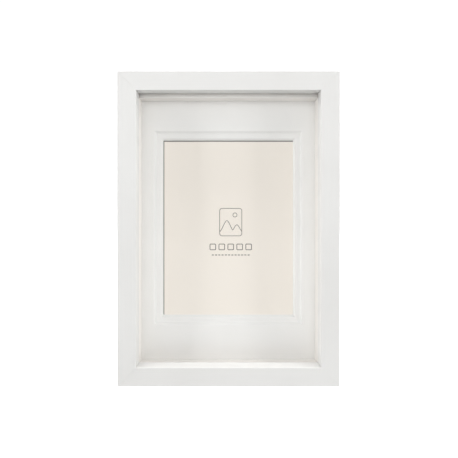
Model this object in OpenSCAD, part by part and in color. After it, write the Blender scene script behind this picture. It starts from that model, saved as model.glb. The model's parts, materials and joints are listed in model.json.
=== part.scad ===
// Deep shadow-box frame for one 15 x 20 cm picture behind a double mat.
// It stands on its bottom edge and faces -Y. The origin is the middle of the base face.

/* [Frame] */
// Outside width of the frame
frame_w = 230; // [210:1:300]
// Outside height of the frame
frame_h = 326; // [306:1:400]
// Depth of the moulding, front face to back face
frame_d = 42; // [40:0.5:60]
// Width of the moulding's flat front face
face_w = 19.3; // [17:0.1:30]
// Thickness of the moulding's wall behind the lip
wall_t = 9.7; // [9.5:0.1:12]
// Depth of the lip, from the front face back to the glass
lip_d = 14.5; // [8:0.5:16]
// Radius of the eased edges of the moulding
arris_r = 0.3; // [0.3:0.1:1.5]

/* [Sheets in the rabbet] */
// Width of the glass, mats and backing board
sheet_w = 205; // [200:0.5:207]
// Height of the glass, mats and backing board
sheet_h = 303; // [296:0.5:304]
// Thickness of the glass
glass_t = 2; // [1.5:0.1:3]
// Thickness of each mat
mat_t = 2.2; // [1.2:0.1:2.5]
// Thickness of the picture card
card_t = 0.3; // [0.2:0.05:0.5]
// Thickness of the backing board
board_t = 3; // [2:0.5:3]

/* [Spacer] */
// Thickness of the spacer strips
strip_t = 4.8; // [3:0.1:5]
// Room at each side between the spacer frame and the rabbet
spacer_room = 4.1; // [0.5:0.1:4.9]
// Further room above the spacer frame, past the room at both sides
spacer_slack = 0.8; // [0:0.1:2]

/* [Mat windows] */
// Width of the opening in the upper mat, at its front edge
upper_window_w = 165; // [158:1:175]
// Height of the opening in the upper mat, at its front edge
upper_window_h = 216; // [208:1:226]
// Width of the opening in the lower mat, at its front edge
lower_window_w = 150.4; // [144:0.1:152]
// Height of the opening in the lower mat, at its front edge
lower_window_h = 200.4; // [194:0.1:202]

/* [Picture card] */
// Width of the card
card_w = 150; // [148:0.5:156]
// Height of the card
card_h = 200; // [198:0.5:206]
// How far the card has slipped to the right
card_slip_x = 2.8; // [0:0.1:3.5]
// How far the card has slipped down
card_slip_z = 3; // [0:0.1:3.5]

/* [Turn buttons] */
// Pivot to the middle of a button's small end
button_reach = 16; // [12:0.5:20]
// Radius of a button's big end, round the screw
button_big_r = 4.4; // [4:0.1:4.4]
// Radius of a button's small end
button_small_r = 3; // [2:0.1:4]
// Thickness of a button's sheet steel
button_t = 1; // [0.8:0.1:1.5]
// Distance of the short rails' buttons from the middle of the rail
short_rail_button = 62; // [50:1:80]
// Distance of the long rails' buttons from the middle of the rail
long_rail_button = 85; // [50:1:120]

/* [Hangers] */
// Length of a sawtooth hanger
hanger_l = 45; // [40:1:60]
// Width of a sawtooth hanger's strip
hanger_w = 8.6; // [8:0.1:9]
// How far a hanger's middle stands off the frame
hanger_rise = 2.4; // [2:0.1:3]

/* [Hidden] */

$fn = 48;
eps = 0.01;          // overshoot of a cutting shape
layer_gap = 0.1;     // air between two layers that lift out separately
floor_gap = 0.1;     // air under what stands on the rabbet's floor

front_y = -frame_d / 2;
back_y = frame_d / 2;
sight_w = frame_w - 2 * face_w;
sight_h = frame_h - 2 * face_w;
rabbet_floor = wall_t;
mid_z = frame_h / 2;

// The stack behind the lip, from front to back
glass_y = front_y + lip_d + layer_gap;
spacer_y = glass_y + glass_t + layer_gap;
stack_behind = 2 * mat_t + card_t + board_t + 2 * layer_gap;
board_recess = 0.2;
spacer_d = back_y - board_recess - stack_behind - spacer_y;
upper_mat_y = spacer_y + spacer_d + layer_gap;
lower_mat_y = upper_mat_y + mat_t;
card_y = lower_mat_y + mat_t;
board_y = card_y + card_t + layer_gap;

sheet_z = rabbet_floor + floor_gap;
sheet_mid_z = sheet_z + sheet_h / 2;
bevel_w = mat_t;     // the windows are cut at 45 degrees

spacer_w = frame_w - 2 * wall_t - 2 * spacer_room;
spacer_h = frame_h - 2 * wall_t - 2 * spacer_room - spacer_slack;
spacer_z = rabbet_floor + floor_gap;

// Hardware on the back
pivot_u = wall_t / 2;          // pivot's distance in from the frame's edge
button_y = back_y + 0.1;
screw_r = 1.25;
button_hole_r = screw_r + 0.05;
screw_depth = 9;
screw_head_r = 2.9;
screw_head_h = 1.5;
screw_head_y = button_y + button_t + 0.1;
cross_slot = [3.4, 0.75, 0.9];    // length, width and depth of each slot of the cross
strip_steel_t = 0.8;
hanger_flat = 7.2;             // length of a hanger's flat end
tooth_pitch = 2.6;
tooth_depth = 1.5;
teeth = 9;
nail_r = 0.7;
nail_head_r = 1.7;
nail_head_h = 0.6;
nail_depth = 8;
hanger_u = wall_t - hanger_w - 0.55;   // hanger's distance in from the frame's edge
v_leg = 5.4;                   // length of a V-nail's leg
v_steel_t = 0.5;
v_depth = 10;
v_apex_u = 2.6;

// Each button: x and z of its pivot, and the turn about Y that points it along its rail
side_x = frame_w / 2 - pivot_u;
top_z = frame_h - pivot_u;
BUTTONS = [
    [-short_rail_button, top_z, 180],
    [short_rail_button, top_z, 0],
    [side_x, mid_z + long_rail_button, -90],
    [side_x, mid_z - long_rail_button, 90],
    [short_rail_button, pivot_u, 0],
    [-short_rail_button, pivot_u, 180],
    [-side_x, mid_z - long_rail_button, 90],
    [-side_x, mid_z + long_rail_button, -90]
];

white = [0.93, 0.93, 0.92];
mat_white = [0.95, 0.95, 0.93];
steel = [0.72, 0.73, 0.75];

// Points of an arc about c, from angle a to angle b in n chords
function arc(c, r, a, b, n) = [for (i = [0:n]) let (t = a + (b - a) * i / n) c + r * [cos(t), sin(t)]];

// Points of a quarter arc about c, from angle a to a + 90 degrees
function quarter(c, r, a) = arc(c, r, a, a + 90, 4);

// Moulding profile: x runs in from the outer edge and y runs back from the front face
function moulding_outline() = concat(
    quarter([arris_r, arris_r], arris_r, 180),
    quarter([face_w - arris_r, arris_r], arris_r, 270),
    [[face_w, lip_d], [wall_t, lip_d], [wall_t, frame_d]],
    quarter([arris_r, frame_d - arris_r], arris_r, 90)
);

// One mitred rail along X, outer face on z = 0, with its sockets for V-nails and screws cut
module plain_rail(length) {
    intersection() {
        translate([0, front_y, 0]) rotate([0, -90, 0])
            linear_extrude(height = length, center = true) polygon(moulding_outline());
        translate([0, back_y, 0]) rotate([90, 0, 0]) linear_extrude(height = frame_d)
            polygon([
                [-length / 2, 0], [length / 2, 0],
                [length / 2 - face_w, face_w], [-length / 2 + face_w, face_w]
            ]);
    }
}

// Cuts the sockets of everything that is driven into the back of the frame
module with_sockets() {
    difference() {
        children();
        v_nails();
        for (b = BUTTONS) translate([b[0], back_y, b[1]]) rotate([90, 0, 0])
            translate([0, 0, -eps]) cylinder(h = screw_depth + eps, r = screw_r);
        at_hangers() at_nails() translate([0, eps, 0]) rotate([90, 0, 0])
            cylinder(h = nail_depth + eps, r = nail_r);
    }
}

module rail_bottom() {
    color(white) with_sockets() plain_rail(frame_w);
}

module rail_top() {
    color(white) with_sockets() translate([0, 0, frame_h]) rotate([0, 180, 0]) plain_rail(frame_w);
}

module rail_left() {
    color(white) with_sockets() translate([-frame_w / 2, 0, mid_z]) rotate([0, 90, 0])
        plain_rail(frame_h);
}

module rail_right() {
    color(white) with_sockets() translate([frame_w / 2, 0, mid_z]) rotate([0, -90, 0])
        plain_rail(frame_h);
}

// A V-nail in the mitre of the corner at the origin, whose rails run along +X and +Z
module v_nail() {
    start = v_apex_u - v_steel_t / 2;
    translate([0, back_y, 0]) rotate([90, 0, 0]) linear_extrude(height = v_depth)
        union() {
            translate([start, start]) square([v_leg, v_steel_t]);
            translate([start, start]) square([v_steel_t, v_leg]);
        }
}

module v_nails() {
    for (side = [0, 1]) mirror([side, 0, 0]) {
        translate([-frame_w / 2, 0, 0]) v_nail();
        translate([-frame_w / 2, 0, frame_h]) mirror([0, 0, 1]) v_nail();
    }
}

module corner_v_nails() {
    color(steel) v_nails();
}

// A sheet of the rabbet's size with its front face at y
module sheet(y, thick) {
    translate([-sheet_w / 2, y, sheet_z]) cube([sheet_w, thick, sheet_h]);
}

module glass_pane() {
    color([0.82, 0.92, 0.90, 0.35]) sheet(glass_y, glass_t);
}

// A spacer strip of size [along X, along Z] with its low corner at x, z
module strip(x, z, size) {
    color(white) translate([x, spacer_y, z]) cube([size[0], spacer_d, size[1]]);
}

module spacer_bottom() {
    strip(-spacer_w / 2, spacer_z, [spacer_w, strip_t]);
}

module spacer_top() {
    strip(-spacer_w / 2, spacer_z + spacer_h - strip_t, [spacer_w, strip_t]);
}

module spacer_left() {
    strip(-spacer_w / 2, spacer_z + strip_t, [strip_t, spacer_h - 2 * strip_t]);
}

module spacer_right() {
    strip(spacer_w / 2 - strip_t, spacer_z + strip_t, [strip_t, spacer_h - 2 * strip_t]);
}

// Outline of a window's cut, from wide at the front of the mat to narrow at its back
function cut_outline(width) = [
    [-width / 2 - eps, -eps],
    [width / 2 + eps, -eps],
    [width / 2 - bevel_w - eps, mat_t + eps],
    [-width / 2 + bevel_w + eps, mat_t + eps]
];

// A mat whose window is w x h at its front edge, with bevelled sides
module mat(y, w, h) {
    tall = sheet_h + 1;
    color(mat_white) difference() {
        sheet(y, mat_t);
        translate([0, y, sheet_mid_z]) intersection() {
            linear_extrude(height = tall, center = true) polygon(cut_outline(w));
            rotate([0, 90, 0]) linear_extrude(height = tall, center = true) polygon(cut_outline(h));
        }
    }
}

module upper_mat() {
    mat(upper_mat_y, upper_window_w, upper_window_h);
}

module lower_mat() {
    mat(lower_mat_y, lower_window_w, lower_window_h);
}

module insert_print() {
    color([0.90, 0.88, 0.83])
        translate([-card_w / 2 + card_slip_x, card_y, sheet_mid_z - card_h / 2 - card_slip_z])
            cube([card_w, card_t, card_h]);
}

module backing_board() {
    color([0.55, 0.42, 0.30]) sheet(board_y, board_t);
}

// Teardrop outline of a turn button, with its big end on the origin and its small end on +X
function teardrop() =
    let (lean = asin((button_big_r - button_small_r) / button_reach))
    concat(
        arc([0, 0], button_big_r, 90 - lean, 270 + lean, 20),
        arc([button_reach, 0], button_small_r, 270 + lean, 450 - lean, 12)
    );

module turn_button(b) {
    color(steel) translate([b[0], button_y + button_t, b[1]]) rotate([0, b[2], 0]) rotate([90, 0, 0])
        linear_extrude(height = button_t) difference() {
            polygon(teardrop());
            circle(r = button_hole_r);
        }
}

// Pan-head screw driven along -Y, with the back face of the frame on y = 0
module pan_head_screw() {
    head = screw_head_y - back_y;
    rotate([-90, 0, 0]) difference() {
        union() {
            translate([0, 0, -screw_depth]) cylinder(h = screw_depth + head, r = screw_r);
            translate([0, 0, head]) cylinder(h = screw_head_h, r = screw_head_r);
        }
        for (turn = [0, 90]) rotate([0, 0, turn])
            translate([-cross_slot[0] / 2, -cross_slot[1] / 2, head + screw_head_h - cross_slot[2]])
                cube([cross_slot[0], cross_slot[1], cross_slot[2] + eps]);
    }
}

module turn_button_screws() {
    color(steel) for (b = BUTTONS) translate([b[0], back_y, b[1]]) pan_head_screw();
}

// Side view of a hanger's strip: flat ends and a raised middle
function hanger_outline() =
    let (end = hanger_l / 2, foot = end - hanger_flat, top = foot - hanger_rise, skew = strip_steel_t / 3)
    [
        [-end, 0], [-foot, 0], [-top, hanger_rise - strip_steel_t], [top, hanger_rise - strip_steel_t],
        [foot, 0], [end, 0], [end, strip_steel_t], [foot - skew, strip_steel_t], [top - skew, hanger_rise],
        [-top + skew, hanger_rise], [-foot + skew, strip_steel_t], [-end, strip_steel_t]
    ];

// A hanger along X with its toothed edge down, lying on y = 0, its upper edge on z = hanger_w
module hanger() {
    difference() {
        linear_extrude(height = hanger_w) polygon(hanger_outline());
        for (i = [0:teeth - 1])
            translate([(i - (teeth - 1) / 2) * tooth_pitch, hanger_rise + eps, 0]) rotate([90, 0, 0])
                linear_extrude(height = strip_steel_t + 3 * eps)
                    polygon([[-tooth_pitch / 2 + 0.3, -eps], [tooth_pitch / 2 - 0.3, -eps], [0, tooth_depth]]);
        at_nails() translate([0, strip_steel_t + eps, 0]) rotate([90, 0, 0])
            cylinder(h = strip_steel_t + 2 * eps, r = nail_r);
    }
}

// Puts its children at the hangers' places: over the top rail and on the left rail
module at_hangers() {
    translate([0, back_y, frame_h - hanger_u - hanger_w]) children();
    translate([-frame_w / 2 + hanger_u + hanger_w, back_y, mid_z]) rotate([0, -90, 0]) children();
}

// Puts its children at a hanger's two nails
module at_nails() {
    for (side = [-1, 1]) translate([side * (hanger_l - hanger_flat) / 2, 0, hanger_w / 2]) children();
}

module hanger_top() {
    color(steel) translate([0, back_y, frame_h - hanger_u - hanger_w]) hanger();
}

module hanger_side() {
    color(steel) translate([-frame_w / 2 + hanger_u + hanger_w, back_y, mid_z]) rotate([0, -90, 0])
        hanger();
}

module nail() {
    rotate([-90, 0, 0]) {
        translate([0, 0, -nail_depth]) cylinder(h = nail_depth + strip_steel_t, r = nail_r);
        translate([0, 0, strip_steel_t]) cylinder(h = nail_head_h, r = nail_head_r);
    }
}

module hanger_nails() {
    color(steel) at_hangers() at_nails() nail();
}

rail_top();
rail_bottom();
rail_left();
rail_right();
corner_v_nails();
glass_pane();
spacer_top();
spacer_bottom();
spacer_left();
spacer_right();
upper_mat();
lower_mat();
insert_print();
backing_board();
turn_button(BUTTONS[0]);  // turn_button_top_left
turn_button(BUTTONS[1]);  // turn_button_top_right
turn_button(BUTTONS[2]);  // turn_button_right_upper
turn_button(BUTTONS[3]);  // turn_button_right_lower
turn_button(BUTTONS[4]);  // turn_button_bottom_right
turn_button(BUTTONS[5]);  // turn_button_bottom_left
turn_button(BUTTONS[6]);  // turn_button_left_lower
turn_button(BUTTONS[7]);  // turn_button_left_upper
turn_button_screws();
hanger_top();
hanger_side();
hanger_nails();
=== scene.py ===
"""Looks of a deep white shadow box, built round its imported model.

Every length is in metres and every place is in the model's own frame: +Z up, the glass facing -Y,
the origin in the middle of the face that the frame stands on.
"""

import json
import logging
import math
import sys
from dataclasses import dataclass, field
from enum import Enum
from typing import Any, Iterable, Optional, Sequence, Union

import bmesh
import bpy
import numpy as np
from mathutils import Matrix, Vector


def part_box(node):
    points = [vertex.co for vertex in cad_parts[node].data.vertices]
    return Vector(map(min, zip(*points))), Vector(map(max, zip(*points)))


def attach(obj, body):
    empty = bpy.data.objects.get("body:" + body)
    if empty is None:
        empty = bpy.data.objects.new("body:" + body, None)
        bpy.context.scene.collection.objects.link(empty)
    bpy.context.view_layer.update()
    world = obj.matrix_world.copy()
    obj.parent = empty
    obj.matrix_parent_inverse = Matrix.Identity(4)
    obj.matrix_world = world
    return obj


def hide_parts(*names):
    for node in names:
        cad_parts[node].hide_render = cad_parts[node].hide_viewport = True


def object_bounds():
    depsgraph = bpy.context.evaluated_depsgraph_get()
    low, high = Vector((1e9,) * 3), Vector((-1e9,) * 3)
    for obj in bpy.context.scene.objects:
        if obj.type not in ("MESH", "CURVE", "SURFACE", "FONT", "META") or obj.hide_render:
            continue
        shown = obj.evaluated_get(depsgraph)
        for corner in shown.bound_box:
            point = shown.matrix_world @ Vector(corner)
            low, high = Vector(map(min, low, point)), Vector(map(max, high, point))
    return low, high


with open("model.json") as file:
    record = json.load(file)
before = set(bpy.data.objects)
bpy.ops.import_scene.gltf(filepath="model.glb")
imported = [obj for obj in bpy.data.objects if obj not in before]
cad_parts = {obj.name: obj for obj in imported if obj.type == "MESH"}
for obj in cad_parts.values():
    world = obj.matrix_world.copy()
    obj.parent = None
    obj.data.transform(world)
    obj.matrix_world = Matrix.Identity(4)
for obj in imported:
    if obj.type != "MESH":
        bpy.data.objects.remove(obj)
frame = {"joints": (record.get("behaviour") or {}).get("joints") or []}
CAD_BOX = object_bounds()

LOG = logging.getLogger("shadow_box")
MM = 0.001
TINY_RADIUS = 1e-5
WELD_DISTANCE = 2e-6
SLIVER_LENGTH = 1e-6
SHORTEST_RUN = 1e-12
Number = Union[int, float]
Colour = tuple[float, float, float]


# ---------------------------------------------------------------- shader graphs


class Value:
    """An output socket of a shader graph. Arithmetic on it adds Math nodes to the graph."""

    def __init__(self, graph: "Graph", socket: bpy.types.NodeSocket) -> None:
        """Wrap a socket.

        Args:
            graph: The graph that the socket belongs to.
            socket: The output socket.
        """
        self.graph = graph
        self.socket = socket

    def _math(self, operation: str, *terms: Union["Value", Number]) -> "Value":
        """Add a Math node over these terms."""
        return self.graph.node("ShaderNodeMath", {"operation": operation}, dict(enumerate(terms)))

    def __add__(self, other: Union["Value", Number]) -> "Value":
        """Sum."""
        return self._math("ADD", self, other)

    def __radd__(self, other: Number) -> "Value":
        """Sum, the number first."""
        return self._math("ADD", other, self)

    def __sub__(self, other: Union["Value", Number]) -> "Value":
        """Difference."""
        return self._math("SUBTRACT", self, other)

    def __rsub__(self, other: Number) -> "Value":
        """Difference, the number first."""
        return self._math("SUBTRACT", other, self)

    def __mul__(self, other: Union["Value", Number]) -> "Value":
        """Product."""
        return self._math("MULTIPLY", self, other)

    def __rmul__(self, other: Number) -> "Value":
        """Product, the number first."""
        return self._math("MULTIPLY", other, self)

    def __pow__(self, other: Union["Value", Number]) -> "Value":
        """Power."""
        return self._math("POWER", self, other)

    def sine(self) -> "Value":
        """Sine of an angle in radians."""
        return self._math("SINE", self)

    def stretch(self, low: float, high: float, to_low: float = 0.0, to_high: float = 1.0) -> "Value":
        """Map low..high on to to_low..to_high, with no value past either end.

        Args:
            low: Value that becomes to_low.
            high: Value that becomes to_high.
            to_low: Result at low.
            to_high: Result at high.

        Returns:
            The mapped value.
        """
        inputs = {"Value": self, "From Min": low, "From Max": high, "To Min": to_low, "To Max": to_high}
        return self.graph.node("ShaderNodeMapRange", {"clamp": True}, inputs)


class Graph:
    """The node tree of one material, and the only place that makes nodes."""

    def __init__(self, name: str) -> None:
        """Start an empty material.

        Args:
            name: Name of the material.
        """
        self.material = bpy.data.materials.new(name)
        self.material.use_nodes = True
        self.tree = self.material.node_tree
        self.tree.nodes.clear()

    def node(
        self,
        kind: str,
        settings: Optional[dict[str, Any]] = None,
        inputs: Optional[dict[Union[str, int], Any]] = None,
        output: Union[str, int] = 0,
    ) -> Value:
        """Add a node.

        Args:
            kind: Blender's name of the node's type.
            settings: The node's own properties, and "stops" for a colour ramp.
            inputs: Values or links of its input sockets, by name or by number.
            output: The output socket to hand back, by name or by number.

        Returns:
            That output.
        """
        made = self.tree.nodes.new(kind)
        for key, setting in (settings or {}).items():
            if key == "stops":
                self._set_stops(made, setting)
            else:
                setattr(made, key, setting)
        for key, given in (inputs or {}).items():
            if isinstance(given, Value):
                self.tree.links.new(given.socket, made.inputs[key])
            else:
                made.inputs[key].default_value = given
        return Value(self, made.outputs[output])

    @staticmethod
    def _set_stops(made: bpy.types.Node, stops: Sequence[tuple[float, Colour]]) -> None:
        """Give a colour ramp its stops.

        Args:
            made: The ramp's node.
            stops: The stops, each a place and a colour.
        """
        elements = made.color_ramp.elements
        while len(elements) < len(stops):
            elements.new(0.5)
        for element, (place, colour) in zip(elements, stops):
            element.position = place
            element.color = (*colour, 1.0)

    def coordinates(self, scale: Sequence[float] = (1, 1, 1), kind: str = "Object") -> Value:
        """Surface coordinates, scaled along each axis.

        Args:
            scale: Factor along each axis.
            kind: Output of the Texture Coordinate node, Object or UV.

        Returns:
            The scaled coordinates.
        """
        source = self.node("ShaderNodeTexCoord", output=kind)
        inputs = {"Vector": source, "Scale": tuple(scale)}
        return self.node("ShaderNodeMapping", {"vector_type": "POINT"}, inputs)

    def noise(self, where: Value, scale: float = 1.0, detail: float = 3.0, rough: float = 0.55) -> Value:
        """Noise from about 0.3 to 0.7, with features 1 / scale metres across on unscaled coordinates."""
        inputs = {"Vector": where, "Scale": scale, "Detail": detail, "Roughness": rough}
        return self.node("ShaderNodeTexNoise", {}, inputs, "Fac")

    def attribute(self, name: str) -> Value:
        """A number stored on the mesh's points."""
        return self.node("ShaderNodeAttribute", {"attribute_name": name}, {}, "Fac")

    def blend(self, first: Union[Value, Colour], second: Union[Value, Colour], share: Value) -> Value:
        """Mix two colours.

        Args:
            first: Colour where share is 0.
            second: Colour where share is 1.
            share: The share of the second colour.

        Returns:
            The mixed colour.
        """
        colours = {6: first, 7: second}
        inputs = {k: v if isinstance(v, Value) else (*v, 1.0) for k, v in colours.items()}
        return self.node("ShaderNodeMix", {"data_type": "RGBA"}, {0: share, **inputs}, 2)

    def bump(
        self, height: Value, depth: float, strength: float = 1.0, under: Optional[Value] = None
    ) -> Value:
        """Turn a height from 0 to 1 into a normal.

        Args:
            height: The height.
            depth: Real depth in metres between heights 0 and 1.
            strength: How much of it to use.
            under: A normal to add this one to.

        Returns:
            The normal.
        """
        inputs: dict[Union[str, int], Any] = {"Height": height, "Distance": depth, "Strength": strength}
        if under is not None:
            inputs["Normal"] = under
        return self.node("ShaderNodeBump", {}, inputs)

    def finish(self, surface: Value) -> bpy.types.Material:
        """Send a shader to the material's output.

        Args:
            surface: The shader.

        Returns:
            The finished material.
        """
        end = self.tree.nodes.new("ShaderNodeOutputMaterial")
        self.tree.links.new(surface.socket, end.inputs["Surface"])
        return self.material

    def principled(self, **inputs: Any) -> bpy.types.Material:
        """Finish with a Principled shader.

        Args:
            **inputs: Its sockets' values or links, with _ for each space in a name.

        Returns:
            The finished material.
        """
        named = {key.replace("_", " "): given for key, given in inputs.items()}
        return self.finish(self.node("ShaderNodeBsdfPrincipled", {}, named))


# ---------------------------------------------------------------- finishes
#
# A field named ..._marks is a noise's number of features in a metre, along each axis where it has
# three numbers. A field named ..._range holds the noise levels between which a mask goes from 0 to 1
# or a colour from one end to the other.


@dataclass(frozen=True)
class SatinPaint:
    """White satin paint on moulding. The piece's UV runs along the rail and round its profile."""

    name: str = "white_satin_paint"
    colour: Colour = (0.712, 0.710, 0.697)
    shade: Colour = (0.683, 0.679, 0.665)
    # Lighter colour on the edges a hand rubs: a painted highlight along the arrises, laid over the real
    # polish.
    rubbed_highlight: Colour = (0.765, 0.761, 0.748)
    roughness: tuple[float, float] = (0.36, 0.5)
    brush_depth: float = 0.05 * MM
    peel_depth: float = 0.02 * MM
    brush_marks: tuple[float, float, float] = (9, 1300, 1)
    peel_marks: float = 850
    cloud_marks: float = 14
    wear_highlight_marks: float = 160
    wear_highlight_range: tuple[float, float] = (0.42, 0.6)
    shade_range: tuple[float, float] = (0.36, 0.6)
    streak_share: float = 0.4
    rubbed_highlight_share: float = 0.4
    rubbed_polish: float = 0.12
    refraction: float = 1.48

    def material(self) -> bpy.types.Material:
        """Fine streaks drawn out along the rail, a faint peel, and edges polished by handling and painted
        lighter, a painted highlight.

        Returns:
            The material.
        """
        g = Graph(self.name)
        streak = g.noise(g.coordinates(self.brush_marks, "UV"), detail=4.0)
        peel = g.noise(g.coordinates(), self.peel_marks, detail=2.0)
        cloud = g.noise(g.coordinates(), self.cloud_marks, detail=2.0)
        wear_and_highlight = g.noise(g.coordinates(), self.wear_highlight_marks, detail=4.0)
        # Mask of the edges a hand rubs: it lowers their roughness and paints them lighter, a painted
        # highlight.
        edge = g.attribute("edge") * wear_and_highlight.stretch(*self.wear_highlight_range)
        tone = streak * self.streak_share + cloud * (1 - self.streak_share)
        base = g.blend(self.shade, self.colour, tone.stretch(*self.shade_range))
        normal = g.bump(peel, self.peel_depth, strength=0.7)
        return g.principled(
            Base_Color=g.blend(base, self.rubbed_highlight, edge * self.rubbed_highlight_share),
            Roughness=streak.stretch(0.35, 0.65, *self.roughness) - edge * self.rubbed_polish,
            Normal=g.bump(streak, self.brush_depth, strength=0.6, under=normal),
            IOR=self.refraction,
        )


@dataclass(frozen=True)
class RawFibre:
    """Bare wood fibre: in a rabbet, and on the rim and the back of a backing board."""

    name: str = "raw_fibre"
    dark: Colour = (0.27, 0.165, 0.085)
    light: Colour = (0.50, 0.36, 0.22)
    speck: Colour = (0.60, 0.46, 0.30)
    roughness: tuple[float, float] = (0.93, 0.77)
    flock_marks: float = 70
    strand_marks: tuple[float, float, float] = (1500, 1500, 260)
    cross_marks: tuple[float, float, float] = (260, 1500, 1700)
    speck_marks: float = 900
    speck_range: tuple[float, float] = (0.62, 0.72)
    shares: tuple[float, float, float] = (0.2, 0.42, 0.38)
    tone_range: tuple[float, float] = (0.34, 0.66)
    speck_share: float = 0.5
    tooth_depth: float = 0.08 * MM
    screen_pitch: float = 0.0
    screen_depth: float = 0.12 * MM

    def material(self) -> bpy.types.Material:
        """Matted fibres in three sizes and, on a screened face, the grid of the press's wire cloth.

        The cloth's height is the product of a sine across and a sine along, each one pitch long.

        Returns:
            The material.
        """
        g = Graph(self.name)
        where = g.coordinates()
        flock = g.noise(where, self.flock_marks)
        strands = g.noise(g.coordinates(self.strand_marks), detail=4.0, rough=0.65)
        across = g.noise(g.coordinates(self.cross_marks), detail=4.0, rough=0.65)
        specks = g.noise(where, self.speck_marks, detail=1.0).stretch(*self.speck_range)
        tone = flock * self.shares[0] + strands * self.shares[1] + across * self.shares[2]
        stops = tuple(zip(self.tone_range, (self.dark, self.light)))
        colour = g.node("ShaderNodeValToRGB", {"stops": stops}, {"Fac": tone})
        normal = g.bump(strands * 0.5 + across * 0.5, self.tooth_depth, strength=0.8)
        if self.screen_pitch:
            xyz = g.node("ShaderNodeSeparateXYZ", {}, {0: where}, "X")
            other = Value(g, xyz.socket.node.outputs["Z"])
            turns = 2 * math.pi / self.screen_pitch
            cloth = (xyz * turns).sine() * (other * turns).sine() * 0.5 + 0.5
            normal = g.bump(cloth, self.screen_depth, strength=0.9, under=normal)
        return g.principled(
            Base_Color=g.blend(colour, self.speck, specks * self.speck_share),
            Roughness=tone.stretch(0.3, 0.7, *self.roughness),
            Normal=normal,
            Specular_IOR_Level=0.3,
        )


@dataclass(frozen=True)
class Board:
    """Paper-faced board: mats and their cut cores, spacer strips, the card and the backing's near-black face,
    which is painted shade.
    """

    name: str
    colour: Colour
    shade: Colour
    tooth_size: float = 0.45 * MM
    tooth_depth: float = 0.035 * MM
    roughness: tuple[float, float] = (0.95, 0.84)
    fibre_marks: tuple[float, float, float] = (3200, 3200, 700)
    cloud_marks: float = 60
    cloud_share: float = 0.2
    shade_range: tuple[float, float] = (0.3, 0.64)

    def material(self) -> bpy.types.Material:
        """A felt-marked paper face: round tooth, short fibres that catch the light, slight clouding.

        Returns:
            The material.
        """
        g = Graph(self.name)
        where = g.coordinates()
        tooth = g.noise(where, 1 / self.tooth_size, rough=0.5)
        fibres = g.noise(g.coordinates(self.fibre_marks), detail=2.0)
        cloud = g.noise(where, self.cloud_marks)
        tone = tooth * (1 - self.cloud_share) + cloud * self.cloud_share
        normal = g.bump(fibres, self.tooth_depth / 2, strength=0.5)
        return g.principled(
            Base_Color=g.blend(self.shade, self.colour, tone.stretch(*self.shade_range)),
            Roughness=tooth.stretch(0.3, 0.7, *self.roughness),
            Normal=g.bump(tooth, self.tooth_depth, strength=0.8, under=normal),
            Specular_IOR_Level=0.25,
        )


@dataclass(frozen=True)
class Plate:
    """Plated or bare steel."""

    name: str
    colour: Colour
    tarnish: Colour
    polished: float = 0.18
    dent_depth: float = 0.03 * MM
    dent_marks: float = 700
    scratch_marks: tuple[float, float, float] = (400, 900, 5200)
    film_marks: float = 220
    film_range: tuple[float, float] = (0.4, 0.66)
    film_dulls: float = 0.16
    scratch_dulls: float = 0.18
    scratch_depth: float = 0.009 * MM
    tarnish_share: float = 0.6

    def material(self) -> bpy.types.Material:
        """Tumbled metal: soft dents, fine scratches and a cloudy film that dulls it in patches.

        Its roughness starts at that of the polished metal, and scratches and film each add to it.

        Returns:
            The material.
        """
        g = Graph(self.name)
        where = g.coordinates()
        dents = g.noise(where, self.dent_marks, detail=2.0)
        scratches = g.noise(g.coordinates(self.scratch_marks))
        film = g.noise(where, self.film_marks, detail=4.0, rough=0.6).stretch(*self.film_range)
        normal = g.bump(scratches, self.scratch_depth, strength=0.6)
        return g.principled(
            Base_Color=g.blend(self.colour, self.tarnish, film * self.tarnish_share),
            Metallic=1.0,
            Roughness=film * self.film_dulls + scratches * self.scratch_dulls + self.polished,
            Normal=g.bump(dents, self.dent_depth, strength=0.7, under=normal),
        )


@dataclass(frozen=True)
class ClearGlass:
    """Thin clear picture glass: its faces mirror a little and let the rest through."""

    name: str = "picture_glass"
    tint: Colour = (0.999, 0.9995, 0.999)
    head_on: float = 0.015
    polish: float = 0.02
    wave_marks: tuple[float, float, float] = (6, 1, 14)
    wave_depth: float = 0.2 * MM

    def material(self) -> bpy.types.Material:
        """A see-through shader and a mirror. The mirror's share is Schlick's: f + (1 - f) facing^5.

        Returns:
            The material.
        """
        g = Graph(self.name)
        swell = g.noise(g.coordinates(self.wave_marks), detail=1.0)
        wave = g.bump(swell, self.wave_depth, strength=0.1)
        facing = g.node("ShaderNodeLayerWeight", {}, {"Blend": 0.5}, "Facing")
        share = facing**5 * (1 - self.head_on) + self.head_on
        clear = g.node("ShaderNodeBsdfTransparent", {}, {"Color": (*self.tint, 1.0)})
        mirror = g.node("ShaderNodeBsdfGlossy", {}, {"Roughness": self.polish, "Normal": wave})
        return g.finish(g.node("ShaderNodeMixShader", {}, {0: share, 1: clear, 2: mirror}))


@dataclass(frozen=True)
class GlassEdge:
    """The ground, green-looking edge of the glass."""

    name: str = "glass_edge"
    colour: Colour = (0.30, 0.52, 0.44)
    pale: Colour = (0.52, 0.70, 0.63)
    chatter_marks: tuple[float, float, float] = (1300, 1300, 1300)
    chatter_depth: float = 0.05 * MM

    def material(self) -> bpy.types.Material:
        """A seamed edge: grey-green with lighter chatter marks.

        Returns:
            The material.
        """
        g = Graph(self.name)
        marks = g.noise(g.coordinates(self.chatter_marks))
        return g.principled(
            Base_Color=g.blend(self.colour, self.pale, marks.stretch(0.4, 0.65)),
            Roughness=marks.stretch(0.3, 0.7, 0.2, 0.45),
            Normal=g.bump(marks, self.chatter_depth, strength=0.6),
        )


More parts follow.
